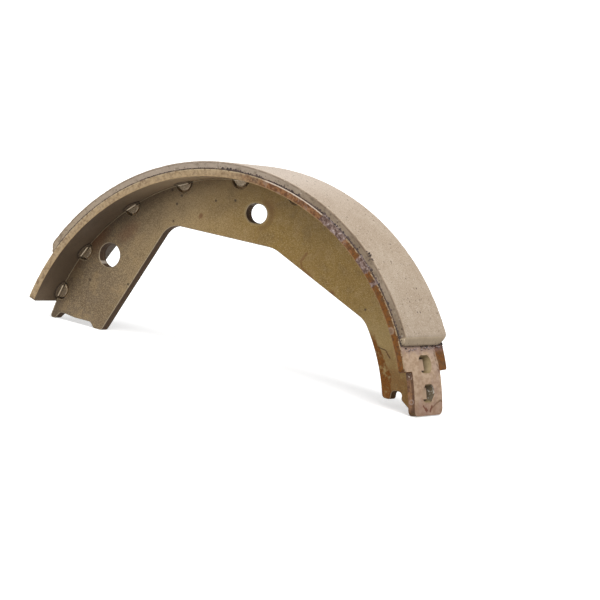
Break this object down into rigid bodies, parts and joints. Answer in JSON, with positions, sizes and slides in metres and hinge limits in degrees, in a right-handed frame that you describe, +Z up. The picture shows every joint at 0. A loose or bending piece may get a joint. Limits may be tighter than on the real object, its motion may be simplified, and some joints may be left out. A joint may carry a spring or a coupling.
{
  "type": "brake shoe",
  "caption": "Curved drum brake shoe: a flat steel web with a round and an oval hole, a slotted table and a bonded friction lining.",
  "frame": {"origin": "middle of the length and width, at the level the feet stand on", "axes": "+X along the length towards the end with the tab, +Y along the axis of the drum, +Z up"},
  "size_m": [0.2154, 0.042, 0.095],
  "materials": {
    "web": "dull yellow chromate plating, fine grain",
    "table": "dull primed steel with surface rust",
    "lining": "ground friction material with fine dark specks",
    "adhesive": "dark dried adhesive"
  },
  "bodies": {
    "root": {"web": "web", "table": "table", "lining": "lining", "adhesive_film": "adhesive"}
  },
  "joints": []
}
